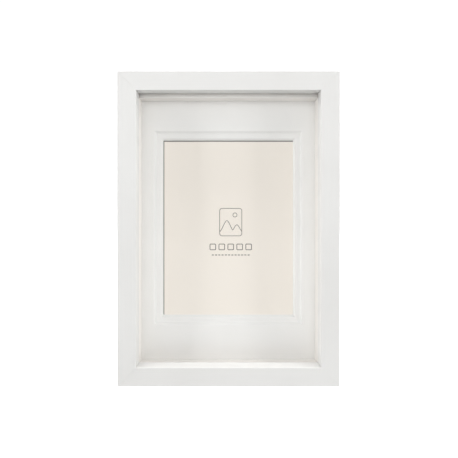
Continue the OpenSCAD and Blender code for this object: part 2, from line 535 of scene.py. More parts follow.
@dataclass(frozen=True)
class Ink:
    """Matt grey printing ink."""

    name: str = "grey_ink"
    colour: Colour = (0.108, 0.085, 0.07)
    thin: Colour = (0.16, 0.13, 0.11)
    cover_marks: float = 2400
    depth: float = 0.01 * MM

    def material(self) -> bpy.types.Material:
        """Ink that lies a little unevenly on the card.

        Returns:
            The material.
        """
        g = Graph(self.name)
        cover = g.noise(g.coordinates(), self.cover_marks, detail=2.0)
        return g.principled(
            Base_Color=g.blend(self.colour, self.thin, cover.stretch(0.4, 0.7)),
            Roughness=cover.stretch(0.3, 0.7, 0.6, 0.8),
            Normal=g.bump(cover, self.depth, strength=0.5),
        )


# ---------------------------------------------------------------- surfaces


@dataclass
class Patch:
    """A grid of points: rows run from one end of a shape to the other, columns run round it.

    points is (rows, columns, 3). uv is (rows, columns, 2) in metres. finish is the number of the
    piece's material. A closed shape repeats its first column as its last. Where cap is True the
    first and last rows are each filled with one flat face.
    """

    points: np.ndarray
    uv: Optional[np.ndarray] = None
    finish: int = 0
    cap: bool = False
    cap_finish: int = 0
    first_cap_finish: Optional[int] = None
    edge: Optional[np.ndarray] = None
    column_finish: Optional[np.ndarray] = None


def grid_uv(points: np.ndarray) -> np.ndarray:
    """Arc lengths along the columns' direction and along the rows' direction of a grid of points.

    Args:
        points: Grid of points, (rows, columns, 3).

    Returns:
        Distances in metres, (rows, columns, 2): down the rows first, round the columns second.
    """
    down = np.linalg.norm(np.diff(points, axis=0), axis=2)
    across = np.linalg.norm(np.diff(points, axis=1), axis=2)
    down = np.vstack([np.zeros((1, points.shape[1])), np.cumsum(down, 0)])
    across = np.hstack([np.zeros((points.shape[0], 1)), np.cumsum(across, 1)])
    return np.stack([down, across], -1)


class Piece:
    """One visible piece, gathered from patches and made into a mesh with its place in its points."""

    def __init__(self, name: str, materials: Sequence[bpy.types.Material]) -> None:
        """Start an empty piece.

        Args:
            name: Name of the piece.
            materials: Its materials, in the order of the patches' finish numbers.
        """
        self.name = name
        self.materials = list(materials)
        self.patches: list[Patch] = []

    def add(self, patches: Union[Patch, Iterable[Patch]]) -> "Piece":
        """Add a patch or several, and hand back the piece."""
        self.patches += [patches] if isinstance(patches, Patch) else list(patches)
        return self

    def _assemble(self) -> tuple[np.ndarray, list[list[int]], np.ndarray, np.ndarray, np.ndarray]:
        """Join the patches' points and faces.

        Returns:
            Points, faces, each point's uv, each point's edge value, and each face's material.
        """
        points, uvs, edges, faces, finishes = [], [], [], [], []
        start = 0
        for patch in self.patches:
            rows, columns = patch.points.shape[:2]
            index = start + np.arange(rows * columns).reshape(rows, columns)
            quads = np.stack([index[:-1, :-1], index[:-1, 1:], index[1:, 1:], index[1:, :-1]], -1)
            kinds = np.full(quads.shape[:2], patch.finish)
            if patch.column_finish is not None:
                kinds[:] = patch.column_finish[None, :]
            faces += quads.reshape(-1, 4).tolist()
            finishes += kinds.ravel().tolist()
            if patch.cap:
                faces += [index[0, :-1][::-1].tolist(), index[-1, :-1].tolist()]
                first = patch.cap_finish if patch.first_cap_finish is None else patch.first_cap_finish
                finishes += [first, patch.cap_finish]
            uv = grid_uv(patch.points) if patch.uv is None else patch.uv
            edge = np.zeros((rows, columns)) if patch.edge is None else patch.edge
            points.append(patch.points.reshape(-1, 3))
            uvs.append(uv.reshape(-1, 2))
            edges.append(np.broadcast_to(edge, (rows, columns)).ravel())
            start += rows * columns
        return np.vstack(points), faces, np.vstack(uvs), np.concatenate(edges), np.array(finishes)

    def make(self, crease: float = 30.0) -> bpy.types.Object:
        """Make the mesh object.

        Args:
            crease: Angle in degrees past which an edge between faces is sharp.

        Returns:
            The object, at the origin, unturned and unscaled.
        """
        points, faces, uvs, edges, finishes = self._assemble()
        mesh = bpy.data.meshes.new(self.name)
        mesh.from_pydata(points, [], faces)
        mesh.polygons.foreach_set("material_index", finishes.astype(np.int32))
        corner = np.zeros(len(mesh.loops), np.int32)
        mesh.loops.foreach_get("vertex_index", corner)
        layer = mesh.uv_layers.new(name="surface")
        layer.data.foreach_set("uv", uvs[corner].astype(np.float32).ravel())
        mark = mesh.attributes.new("edge", "FLOAT", "POINT")
        mark.data.foreach_set("value", edges.astype(np.float32))
        self._weld(mesh)
        for material in self.materials:
            mesh.materials.append(material)
        mesh.shade_smooth()
        mesh.set_sharp_from_angle(angle=math.radians(crease))
        made = bpy.data.objects.new(self.name, mesh)
        bpy.context.scene.collection.objects.link(made)
        return made

    @staticmethod
    def _weld(mesh: bpy.types.Mesh) -> None:
        """Close the seams, drop faces that have shrunk to nothing and point every face outwards.

        Args:
            mesh: The mesh.
        """
        bm = bmesh.new()
        bm.from_mesh(mesh)
        bmesh.ops.remove_doubles(bm, verts=bm.verts, dist=WELD_DISTANCE)
        bmesh.ops.dissolve_degenerate(bm, edges=bm.edges, dist=SLIVER_LENGTH)
        bmesh.ops.recalc_face_normals(bm, faces=bm.faces)
        bm.to_mesh(mesh)
        bm.free()


def place(made: bpy.types.Object, body: str, slot: str, *nodes: str) -> bpy.types.Object:
    """Let a piece ride on a body and stand for its CAD nodes.

    Args:
        made: The piece.
        body: Name of the body.
        slot: The record's material slot. Not used.
        *nodes: The CAD nodes that it stands for.

    Returns:
        The piece.
    """
    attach(made, body)
    if nodes:
        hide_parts(*nodes)
    LOG.info("%-34s on %-20s %6d faces", made.name, body, len(made.data.polygons))
    return made


def arc(centre: Sequence[float], radius: float, start: float, stop: float, steps: int) -> np.ndarray:
    """Points of an arc: centre + radius (cos t, sin t), with t going from start to stop in degrees."""
    t = np.radians(np.linspace(start, stop, steps + 1))
    return np.stack([centre[0] + radius * np.cos(t), centre[1] + radius * np.sin(t)], -1)


def eased_outline(corners: np.ndarray, radii: Sequence[float], steps: int, hold: float) -> np.ndarray:
    """Round the corners of a closed outline.

    At a corner with unit directions p and q to its neighbours and half angle h between them, the
    round touches the sides at radius / tan(h), about a centre radius / sin(h) along the bisector.
    A further point lies a short way along each side, so that flat sides keep flat shading.

    Args:
        corners: Corner points, (n, 2).
        radii: Radius at each corner.
        steps: Chords in each round.
        hold: Distance along the side of the further points.

    Returns:
        The outline's points, open: the first isn't repeated.
    """
    out = []
    for corner, before, after, radius in zip(corners, np.roll(corners, 1, 0), np.roll(corners, -1, 0), radii):
        p = (before - corner) / np.linalg.norm(before - corner)
        q = (after - corner) / np.linalg.norm(after - corner)
        half = math.acos(float(np.clip(p @ q, -1, 1))) / 2
        touch = radius / math.tan(half)
        centre = corner + (p + q) / np.linalg.norm(p + q) * radius / math.sin(half)
        first, last = corner + p * touch - centre, corner + q * touch - centre
        t = np.linspace(0, 1, steps + 1)[:, None] * (math.pi - 2 * half)
        swing = math.sin(math.pi - 2 * half)
        round_points = centre + (np.sin(math.pi - 2 * half - t) * first + np.sin(t) * last) / swing
        out += [corner + p * (touch + hold), *round_points, corner + q * (touch + hold)]
    return np.array(out)


def inset_outline(outline: np.ndarray, inset: float) -> np.ndarray:
    """Move every point of a closed anticlockwise outline inwards, along its normal.

    Args:
        outline: The outline's points, (n, 2).
        inset: Distance to move them.

    Returns:
        The moved points.
    """
    return outline + inset * normals(np.roll(outline, -1, 0) - np.roll(outline, 1, 0))


def normals(run: np.ndarray) -> np.ndarray:
    """Unit normals of a line, a quarter turn anticlockwise from its direction.

    Args:
        run: Its direction at each point, (n, 2), of any length.

    Returns:
        The normals, (n, 2).
    """
    run = run / np.maximum(np.linalg.norm(run, axis=1, keepdims=True), SHORTEST_RUN)
    return np.stack([-run[:, 1], run[:, 0]], -1)


def rectangle_rows(half_w: np.ndarray, half_h: np.ndarray, radius: np.ndarray, steps: int) -> np.ndarray:
    """Concentric rectangles with rounded corners, one for each row.

    The corner centres are at half size less radius, and each corner is a quarter circle from there.

    Args:
        half_w: Half widths, (rows,).
        half_h: Half heights, (rows,).
        radius: Corner radii, (rows,).
        steps: Chords in each corner.

    Returns:
        Points, (rows, 4 * (steps + 1) + 1, 2), anticlockwise, the first repeated at the end.
    """
    t = np.concatenate([np.linspace(k, k + 1, steps + 1) for k in range(4)]) * math.pi / 2
    sign_x = np.repeat([1, -1, -1, 1], steps + 1)
    sign_z = np.repeat([1, 1, -1, -1], steps + 1)
    x = sign_x * (half_w - radius)[:, None] + radius[:, None] * np.cos(t)
    z = sign_z * (half_h - radius)[:, None] + radius[:, None] * np.sin(t)
    rows = np.stack([x, z], -1)
    return np.concatenate([rows, rows[:, :1]], 1)


def slab(low: np.ndarray, high: np.ndarray, thin: int, ease: float, corner: float, steps: int = 3) -> Patch:
    """A flat slab with eased edges: its rim is a rounded rectangle drawn in towards each face.

    Across the rim the outline shrinks by ease (1 - sin a) while the thickness runs
    ease (1 - cos a), so that each edge is a quarter round.

    Args:
        low: Lowest corner.
        high: Highest corner.
        thin: Axis of the thickness: 0, 1 or 2.
        ease: Radius of the edges.
        corner: Radius of the outline's corners.
        steps: Chords in each edge's round.

    Returns:
        The slab as one capped patch.
    """
    low, high = np.array(low, float), np.array(high, float)
    wide = [axis for axis in range(3) if axis != thin]
    middle, half = (low + high) / 2, (high - low) / 2
    a = np.linspace(0, math.pi / 2, steps + 1)
    hold = ease * 0.5
    inwards, sunk = ease * (1 - np.sin(a)), ease * (1 - np.cos(a))
    shrink = np.concatenate([[ease + hold], inwards, inwards[::-1], [ease + hold]])
    depth = np.concatenate([[0], sunk, 2 * half[thin] - sunk[::-1], [2 * half[thin]]])
    radius = np.maximum(corner - shrink, TINY_RADIUS)
    rows = rectangle_rows(half[wide[0]] - shrink, half[wide[1]] - shrink, radius, steps)
    points = np.empty((*rows.shape[:2], 3))
    points[..., wide[0]] = middle[wide[0]] + rows[..., 0]
    points[..., wide[1]] = middle[wide[1]] + rows[..., 1]
    points[..., thin] = (low[thin] + depth)[:, None]
    return Patch(points, cap=True)


def turned(profile: np.ndarray, centre: np.ndarray, sectors: int) -> Patch:
    """A profile turned about an axis along +Y: its radius times (cos t, sin t), its height along Y.

    Args:
        profile: Radius and height of each of its points, (n, 2).
        centre: The point on the axis at height 0.
        sectors: Number of steps in the whole turn.

    Returns:
        The surface.
    """
    t = np.linspace(0, 2 * math.pi, sectors + 1)
    radius, height = profile[:, :1], profile[:, 1:]
    x = centre[0] + radius * np.cos(t)
    z = centre[2] + radius * np.sin(t)
    y = centre[1] + height + 0 * t
    return Patch(np.stack([x, y, z], -1))


def corner_points(node: str) -> tuple[np.ndarray, np.ndarray]:
    """A CAD node's lowest and highest corners as arrays."""
    low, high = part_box(node)
    return np.array(low), np.array(high)


# ---------------------------------------------------------------- the frame


class Side(Enum):
    """A side of the frame: its name, the direction along it and the direction in from its edge."""

    TOP = ("top", (1, 0, 0), (0, 0, -1))
    BOTTOM = ("bottom", (1, 0, 0), (0, 0, 1))
    LEFT = ("left", (0, 0, 1), (1, 0, 0))
    RIGHT = ("right", (0, 0, 1), (-1, 0, 0))

    @property
    def label(self) -> str:
        """The side's name."""
        return self.value[0]

    @property
    def along(self) -> np.ndarray:
        """Unit vector along the side."""
        return np.array(self.value[1], float)

    @property
    def inward(self) -> np.ndarray:
        """Unit vector from the frame's edge towards its opening."""
        return np.array(self.value[2], float)


@dataclass
class Moulding:
    """The four mitred rails: one L-shaped profile with eased edges, a lip in front, a rabbet behind.

    The profile's six corners are counted from the front's outer edge. highlit_worn_corners are those that a
    hand rubs: their paint is polished, and also painted lighter as a painted highlight along the arrises. The
    raw wood covers the stretches that lead to each corner from the first of bare_corners up to, but not
    including, the last: the ledge behind the lip and the rabbet's wall.
    """

    paint: SatinPaint
    fibre: RawFibre
    lip_depth: float = 14.5 * MM
    wall: float = 9.7 * MM
    arris: float = 0.25 * MM
    fine_arris: float = 0.2 * MM
    hold: float = 0.25 * MM
    mitre_gap: float = 0.13 * MM
    stations: int = 24
    steps: int = 5
    highlit_worn_corners: tuple[int, ...] = (0, 1, 5)
    bare_corners: tuple[int, int] = (3, 5)
    materials: list[bpy.types.Material] = field(default_factory=list)

    def profile(self, face: float, depth: float) -> tuple[np.ndarray, np.ndarray, np.ndarray]:
        """Outline of the moulding: distance in from the outer edge, and distance back from the front.

        Args:
            face: Width of the front face.
            depth: Depth of the moulding.

        Returns:
            The outline's points, how near each is to an edge that a hand rubs, which is painted lighter as a
            painted highlight, and the finish of each stretch.
        """
        lip = [(0, 0), (face, 0), (face, self.lip_depth)]
        rabbet = [(self.wall, self.lip_depth), (self.wall, depth), (0, depth)]
        radii = [self.arris] * 2 + [self.fine_arris] * 3 + [self.arris]
        outline = eased_outline(np.array(lip + rabbet), radii, self.steps, self.hold)
        count = self.steps + 3
        worn_and_highlit = np.zeros(len(outline))
        for number in self.highlit_worn_corners:
            worn_and_highlit[number * count + 1 : (number + 1) * count - 1] = 1
        finish = np.zeros(len(outline), int)
        first_bare, last_bare = self.bare_corners
        finish[first_bare * count - 2 : last_bare * count - 2] = 1
        return outline, worn_and_highlit, finish

    def rail(self, side: Side) -> bpy.types.Object:
        """Carry the profile along one side, each end cut at 45 degrees.

        A point that is u in from the edge runs from -(L / 2 - u) to L / 2 - u, where L is the side's
        length. The last ring at each end is drawn in a little, which leaves a fine groove at the mitre.

        Args:
            side: The side.

        Returns:
            The rail.
        """
        low, high = corner_points(f"rail_{side.label}")
        size = high - low
        length, face, depth = size @ np.abs(side.along), size @ np.abs(side.inward), size[1]
        outline, worn_and_highlit, finish = self.profile(face, depth)
        drawn_in = inset_outline(outline, self.mitre_gap)
        share = np.linspace(-1, 1, self.stations)[:, None]
        reach = length / 2 - outline[:, 0] - self.mitre_gap
        middle_rows = share * reach
        end_row = length / 2 - drawn_in[:, 0]
        along = np.vstack([-end_row, middle_rows, end_row])
        section = np.concatenate([drawn_in[None], np.tile(outline, (self.stations, 1, 1)), drawn_in[None]])
        u, y = section[..., 0], section[..., 1]
        middle = (low + high) / 2
        start = middle - side.inward * face / 2
        points = start + along[..., None] * side.along + u[..., None] * side.inward
        points[..., 1] = low[1] + y
        points = np.concatenate([points, points[:, :1]], 1)
        steps = np.linalg.norm(np.diff(np.vstack([outline, outline[:1]]), axis=0), axis=1)
        around = np.concatenate([[0], np.cumsum(steps)])
        along = np.hstack([along, along[:, :1]])
        uv = np.stack([along, np.broadcast_to(around, along.shape)], -1)
        edge = np.tile(np.append(worn_and_highlit, worn_and_highlit[0]), (len(along), 1))
        patch = Patch(points, uv, cap=True, cap_finish=1, edge=edge, column_finish=finish)
        piece = Piece(f"rail_{side.label}_moulding", self.materials).add(patch)
        return place(piece.make(), "frame", "white_paint", f"rail_{side.label}")

    def build(self) -> None:
        """Make the two materials and the four rails."""
        self.materials = [self.paint.material(), self.fibre.material()]
        for side in Side:
            self.rail(side)


@dataclass
class MitreNails:
    """The V-nails pressed into the back of each mitre, a little proud of the paint."""

    plate: Plate
    apex: float = 2.6 * MM
    leg: float = 5.4 * MM
    steel: float = 0.5 * MM
    curl: float = 0.35 * MM
    proud: float = 0.04 * MM
    depth: float = 9.5 * MM
    chamfer: float = 0.1 * MM
    stations: int = 25

    def outline(self) -> np.ndarray:
        """Centre line of the V: s runs from one tip over the apex to the other, and the tips curl by s^6.

        Returns:
            Points along it, (stations, 2), from the apex along the two legs' own axes.
        """
        s = np.linspace(-1, 1, self.stations)
        reach = np.abs(s) * self.leg
        lift = self.curl * np.abs(s) ** 6
        return np.where(s[:, None] < 0, np.stack([-lift, reach], -1), np.stack([reach, -lift], -1))

    def build(self) -> bpy.types.Object:
        """Make all four in one piece: each is a strip along the V, pressed straight in.

        Returns:
            The piece.
        """
        low, high = corner_points("rail_bottom")
        _, top = corner_points("rail_top")
        line = self.outline()
        normal = normals(np.gradient(line, axis=0)) * self.steel / 2
        ring = np.vstack([line + normal, (line - normal)[::-1]])
        ring = np.vstack([ring, ring[:1]]) + self.apex
        back = high[1] + self.proud
        depths = np.array([back - self.depth, back - self.chamfer, back])
        piece = Piece("mitre_v_nails", [self.plate.material()])
        for sign_x in (-1, 1):
            for sign_z, edge_z in ((1, low[2]), (-1, top[2])):
                x = sign_x * high[0] - sign_x * ring[:, 0]
                z = edge_z + sign_z * ring[:, 1]
                flat = np.stack([x, 0 * x, z], -1)
                points = np.repeat(flat[None], len(depths), 0)
                points[..., 1] = depths[:, None]
                piece.add(Patch(points, cap=True))
        return place(piece.make(), "frame", "steel", "corner_v_nails")


# ---------------------------------------------------------------- glass, spacer, mats, card, board


@dataclass
class Pane:
    """The glass: two optical faces and a seamed edge."""

    glass: ClearGlass
    edge: GlassEdge
    ease: float = 0.25 * MM
    corner: float = 0.6 * MM

    def build(self) -> bpy.types.Object:
        """Make the pane, its faces clear and its rim green.

        Returns:
            The piece.
        """
        patch = slab(*corner_points("glass_pane"), 1, self.ease, self.corner)
        patch.finish = 1
        piece = Piece("glass_sheet", [self.glass.material(), self.edge.material()]).add(patch)
        return place(piece.make(), "glass", "glass", "glass_pane")


@dataclass
class Spacer:
    """Four board-faced strips, butted at the corners, that hold the mats off the glass."""

    board: Board
    ease: float = 0.3 * MM
    corner: float = 0.35 * MM

    def build(self) -> None:
        """Make each strip as a slab whose thickness points at the opening."""
        material = self.board.material()
        for side in Side:
            low, high = corner_points(f"spacer_{side.label}")
            thin = int(np.argmin(high - low))
            patch = slab(low, high, thin, self.ease, self.corner)
            piece = Piece(f"spacer_{side.label}_strip", [material]).add(patch)
            place(piece.make(), "spacer", "white_board", f"spacer_{side.label}")


@dataclass
class Mat:
    """A mat with a bevelled window: a paper face, and a slightly greyer core on the 45 degree cut."""

    node: str
    window: tuple[float, float]
    face: Board
    core: Board
    ease: float = 0.25 * MM
    lip: float = 0.12 * MM
    foot: float = 0.05 * MM
    steps: int = 3

    def profile(self, thick: float) -> tuple[np.ndarray, np.ndarray, np.ndarray, np.ndarray]:
        """Section through the mat, from its face by the window down the bevel, and round the outside.

        On the bevel the window shrinks by as much as the cut sinks. Each outer edge is a quarter
        round, ease (1 - sin a) in from the side at ease (1 - cos a) from the face.

        Args:
            thick: Thickness of the board.

        Returns:
            The window's shrink and its depth at each point of the bevel, and the sheet's shrink and
            its depth at each point of the outside.
        """
        rolled = [-4 * self.lip, -self.lip, 0, self.lip * 0.8]
        shrink = np.array(rolled + [thick - self.foot, thick, thick - MM])
        depth = np.array([0, 0, self.lip * 0.25, self.lip, thick - self.foot, thick, thick])
        a = np.linspace(0, math.pi / 2, self.steps + 1)
        inwards, sunk = self.ease * (1 - np.sin(a)), self.ease * (1 - np.cos(a))
        outer_shrink = np.concatenate([inwards, inwards[::-1], [2 * self.ease]])[::-1]
        outer_depth = np.concatenate([sunk, (thick - sunk)[::-1], [thick]])[::-1]
        return shrink, depth, outer_shrink, outer_depth

    def build(self) -> bpy.types.Object:
        """Carry the section round the window and the sheet's edge, each of its points a rectangle.

        Returns:
            The mat.
        """
        low, high = corner_points(self.node)
        middle, half = (low + high) / 2, (high - low) / 2
        shrink, depth, outer_shrink, outer_depth = self.profile(high[1] - low[1])
        halves = []
        for window, sheet in zip(np.array(self.window) / 2, half[[0, 2]]):
            halves.append(np.concatenate([window - shrink, sheet - outer_shrink, [window + 4 * self.lip]]))
        depths = np.concatenate([depth, outer_depth, [0]])
        rows = rectangle_rows(*halves, np.full(len(depths), TINY_RADIUS), 1)
        points = np.empty((*rows.shape[:2], 3))
        points[..., 0] = middle[0] + rows[..., 0]
        points[..., 1] = low[1] + depths[:, None]
        points[..., 2] = middle[2] + rows[..., 1]
        front, bevel, rest = Patch(points[:3]), Patch(points[2:6], finish=1), Patch(points[5:])
        piece = Piece(f"{self.node}_board", [self.face.material(), self.core.material()])
        return place(piece.add([front, bevel, rest]).make(crease=25), "picture_pack", "mat_board", self.node)


@dataclass
class PictureCard:
    """The card in the mat's window, with a plain placeholder drawing in place of a picture."""

    card: Board
    ink: Ink
    middle: tuple[float, float] = (2.8 * MM, 150.0 * MM)
    sign: tuple[float, float] = (25.0 * MM, 31.0 * MM)
    sign_corner: float = 2.8 * MM
    sun: tuple[float, float] = (0.38, 0.52)
    sun_radius: float = 2.3 * MM
    sun_steps: int = 32
    ground: float = 0.8
    hills: tuple[tuple[float, float, float], ...] = ((-0.35, 0.44, 0.9), (0.55, 0.36, 0.6))
    hill_steps: int = 80
    rise: float = 17.5 * MM
    line: float = 0.6 * MM
    bold: float = 1.3
    blank: float = 6.4 * MM
    blank_corner: float = 0.8 * MM
    blanks: int = 5
    blank_pitch: float = 10.1 * MM
    blank_drop: float = 10.5 * MM
    dash: tuple[float, float] = (2.3 * MM, 0.9 * MM)
    dashes: int = 12
    dash_drop: float = 19.6 * MM
    ink_depth: float = 0.03 * MM
    ease: float = 0.05 * MM
    corner: float = 0.4 * MM

    def ribbon(self, line: np.ndarray, width: float, closed: bool) -> Patch:
        """Carry a thin flat oblong along a line on the card.

        The line's normal times half the width gives the two sides, at two heights.

        Args:
            line: Points on the card, (n, 2), from the drawing's middle.
            width: Width of the line.
            closed: Whether the last point joins the first.

        Returns:
            The ribbon as a closed tube.
        """
        if closed:
            run = np.roll(line, -1, 0) - np.roll(line, 1, 0)
        else:
            run = np.gradient(line, axis=0)
        side = normals(run) * width / 2
        low, _ = corner_points("insert_print")
        top, under = low[1] - self.ink_depth, low[1] + self.ink_depth
        flat = np.stack([line + side, line - side, line - side, line + side, line + side], 1)
        if closed:
            flat = np.concatenate([flat, flat[:1]], 0)
        points = np.empty((*flat.shape[:2], 3))
        points[..., 0] = self.middle[0] + flat[..., 0]
        points[..., 1] = np.array([top, top, under, under, top])
        points[..., 2] = self.middle[1] + flat[..., 1]
        return Patch(points, cap=not closed)

    @staticmethod
    def oblong(half_w: float, half_h: float, corner: float, steps: int) -> np.ndarray:
        """One rounded rectangle's outline, open: the first point isn't repeated."""
        return rectangle_rows(*np.array([[half_w], [half_h], [corner]]), steps)[0, :-1]

    def drawing(self) -> list[Patch]:
        """A picture sign over a row of blank squares and a dashed rule.

        The sign is a rounded border with a sun and two hills. Each hill is a bell curve
        a exp(-((x - c) / w)^2) over the ground, with c, w and a in hills as shares of the sign's half
        size, and the line is the greater of the two.

        Returns:
            One ribbon for each line.
        """
        w, h = self.sign[0] / 2, self.sign[1] / 2
        border = self.oblong(w, h, self.sign_corner, steps=8)
        sun = arc((self.sun[0] * w, self.sun[1] * h), self.sun_radius, 0, 360, self.sun_steps)[:-1]
        x = np.linspace(-w, w, self.hill_steps + 1)
        bells = [a * h * np.exp(-(((x - c * w) / (b * w)) ** 2)) for c, b, a in self.hills]
        hills = np.stack([x, np.maximum(*bells) - self.ground * h], -1)
        patches = [self.ribbon(line + (0, self.rise), self.line, True) for line in (border, sun)]
        patches.append(self.ribbon(hills + (0, self.rise), self.line, False))
        square = self.oblong(self.blank / 2, self.blank / 2, self.blank_corner, steps=4)
        for number in range(self.blanks):
            offset = (number - (self.blanks - 1) / 2) * self.blank_pitch
            patches.append(self.ribbon(square + (offset, -self.blank_drop), self.line * self.bold, True))
        pitch = self.blank_pitch * (self.blanks - 1) / (self.dashes - 1)
        for number in range(self.dashes):
            ends = (number - (self.dashes - 1) / 2) * pitch + np.array([-0.5, 0, 0.5]) * self.dash[0]
            rule = np.stack([ends, np.full(3, -self.dash_drop)], -1)
            patches.append(self.ribbon(rule, self.dash[1], False))
        return patches

    def build(self) -> None:
        """Make the card and the drawing on it."""
        piece = Piece("picture_card", [self.card.material()])
        piece.add(slab(*corner_points("insert_print"), 1, self.ease, self.corner))
        place(piece.make(), "picture_pack", "print_card", "insert_print")
        drawing = Piece("picture_card_drawing", [self.ink.material()]).add(self.drawing())
        place(drawing.make(), "picture_pack", "print_card")


@dataclass
class Backing:
    """The backing board: a near-black face towards the card, painted shade seen as the dark line in the gap
    beside the card, and the press's wire pattern behind.
    """

    shade_lining: Board
    rim: RawFibre
    back: RawFibre
    ease: float = 0.4 * MM
    corner: float = 0.8 * MM

    def build(self) -> bpy.types.Object:
        """Make the board.

        Returns:
            The piece.
        """
        patch = slab(*corner_points("backing_board"), 1, self.ease, self.corner)
        # The face towards the card takes the near-black material: painted shade for the gap beside the card.
        patch.cap_finish, patch.first_cap_finish = 1, 2
        materials = [self.rim.material(), self.back.material(), self.shade_lining.material()]
        piece = Piece("backing_hardboard", materials).add(patch)
        return place(piece.make(), "backing", "fibreboard", "backing_board")


# ---------------------------------------------------------------- hardware on the back


def hinges() -> list[dict[str, Any]]:
    """The turn buttons' joints, in the record's order."""
    return [joint for joint in frame["joints"] if joint["type"] == "hinge"]


@dataclass
class TurnButtons:
    """Stamped teardrop buttons, each on its own screw."""

    plate: Plate
    big: float = 4.4 * MM
    small: float = 3.0 * MM
    reach: float = 16.0 * MM
    hole: float = 1.3 * MM
    hole_ease: float = 0.12 * MM
    hole_land: float = 0.3 * MM
    burr: float = 0.28 * MM
    chords: int = 40
    tangent_steps: int = 18
    rim_steps: int = 4

    def outline(self, inset: np.ndarray) -> np.ndarray:
        """Teardrops, each inset from the full outline by one of these distances.

        Two circles about the pivot and the tip share outer tangents, which lean by
        asin((big - small) / reach). Smaller radii about the same centres inset it evenly.

        Args:
            inset: The insets, (rows,).

        Returns:
            Points, (rows, columns, 2), the first column repeated at the end.
        """
        lean = math.degrees(math.asin((self.big - self.small) / self.reach))
        big = arc((0, 0), 1.0, 90 - lean, 270 + lean, self.chords)
        small = arc((0, 0), 1.0, 270 + lean, 450 - lean, self.chords // 2)
        wide = (self.big - inset)[:, None, None] * big
        narrow = (self.small - inset)[:, None, None] * small + (self.reach, 0)
        share = np.linspace(0, 1, self.tangent_steps + 1)[1:-1, None]
        there = wide[:, -1:] + share * (narrow[:, :1] - wide[:, -1:])
        back = narrow[:, -1:] + share * (wide[:, :1] - narrow[:, -1:])
        return np.concatenate([wide, there, narrow, back, wide[:, :1]], 1)

    def button(self, node: str, pivot: np.ndarray, material: bpy.types.Material) -> bpy.types.Object:
        """Make one button.

        Its rim rounds over from the rolled front to the back; the faces run in to the hole, each
        hole point lying in the same direction from the pivot as the rim point it joins.

        Args:
            node: Its CAD node.
            pivot: A point on its screw's axis.
            material: Its material.

        Returns:
            The button.
        """
        low, high = corner_points(node)
        forward = ((low + high) / 2 - pivot) * (1, 0, 1)
        forward /= np.linalg.norm(forward)
        across = np.array([-forward[2], 0, forward[0]])
        thick = high[1] - low[1]
        a = np.linspace(0, math.pi / 2, self.rim_steps + 1)
        fall = self.burr * (1 - np.sin(a))
        rise = self.burr * (1 - np.cos(a))
        inset = np.concatenate([[2 * self.burr], fall, fall[::-1] * 0.5, [self.burr]])
        height = np.concatenate([[thick], thick - rise, rise[::-1] * 0.5, [0]])
        rim = self.outline(inset)
        angle = np.arctan2(rim[0, :, 1], rim[0, :, 0])
        ring = np.stack([np.cos(angle), np.sin(angle)], -1)
        bore = ring[None] * (self.hole + np.array([0, 0, self.hole_ease, self.hole_land]))[:, None, None]
        flat = np.concatenate([bore, rim, bore[:1]], 0)
        heights = np.concatenate([[0, thick - self.hole_ease, thick, thick], height, [0]])
        points = np.array([pivot[0], low[1], pivot[2]]) + flat[..., :1] * forward + flat[..., 1:] * across
        points[..., 1] += heights[:, None]
        return Piece(f"{node}_plate", [material]).add(Patch(points)).make(crease=35)

    def build(self) -> None:
        """Make every button at its joint's pivot."""
        material = self.plate.material()
        for joint in hinges():
            node = "turn_button_" + joint["name"].removeprefix("turn_")
            made = self.button(node, np.array(joint["pos_m"]), material)
            place(made, joint["child"], "zinc_plate", node)


